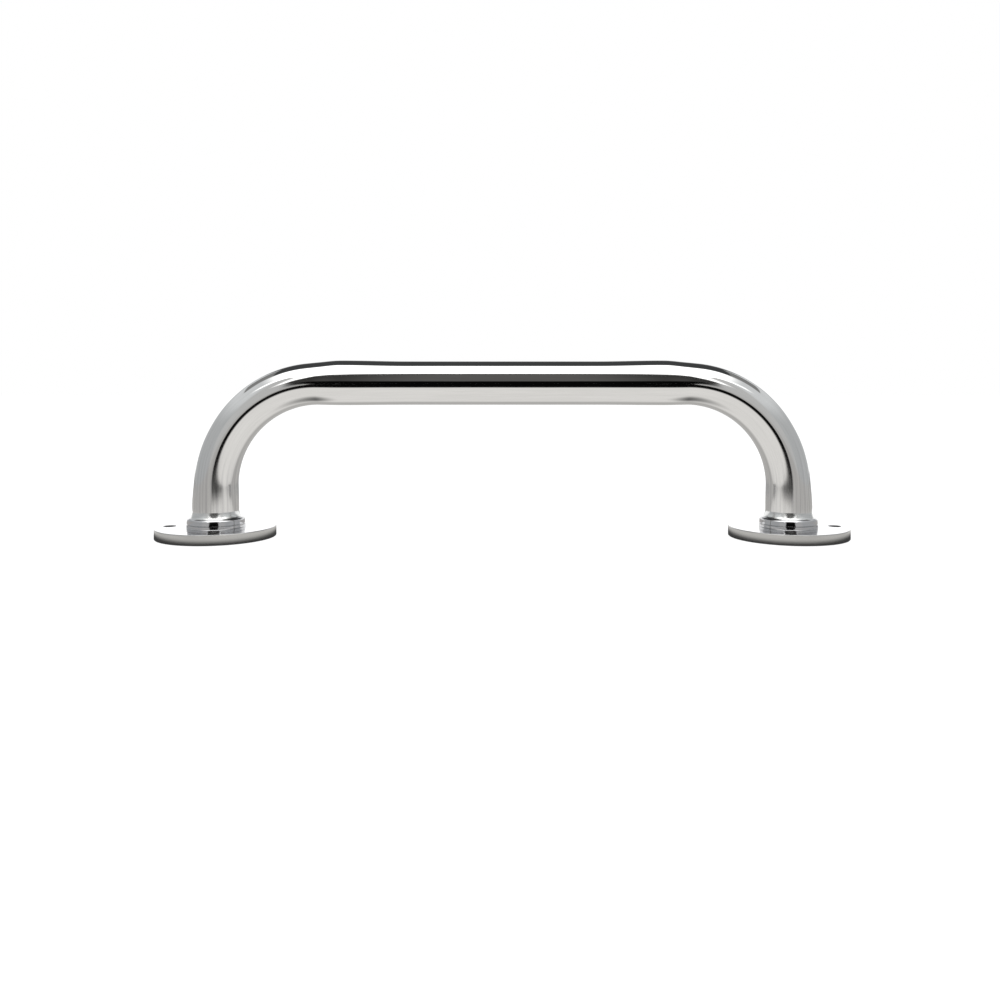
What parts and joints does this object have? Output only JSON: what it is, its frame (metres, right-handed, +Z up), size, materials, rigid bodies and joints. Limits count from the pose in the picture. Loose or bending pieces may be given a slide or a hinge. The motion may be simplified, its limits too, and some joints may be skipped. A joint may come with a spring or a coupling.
{
  "type": "grab rail",
  "caption": "Polished stainless grab rail: a straight tube bent down at both ends into welded, collared round flange bases with screw holes.",
  "frame": {"origin": "on the mounting surface, midway between the two legs", "axes": "+X along the bar, +Y across it in the mounting surface, +Z up from the mounting surface towards the bar"},
  "size_m": [0.402, 0.0684, 0.1021],
  "materials": {
    "polished_tube": "mirror-polished stainless steel with faint lengthwise polishing lines",
    "polished_plate": "mirror-polished stainless steel with fine circular polishing lines",
    "polished_collar": "mirror-polished turned stainless steel",
    "polished_weld": "weld fillet ground and polished",
    "raw_weld": "as-welded stainless bead, dull with heat tint"
  },
  "bodies": {
    "root": {"rail_tube": "polished_tube", "left_base_plate": "polished_plate", "right_base_plate": "polished_plate", "left_collar": "polished_collar", "right_collar": "polished_collar", "left_collar_weld": "polished_weld", "right_collar_weld": "polished_weld", "left_root_weld": "raw_weld", "right_root_weld": "raw_weld"}
  },
  "joints": []
}
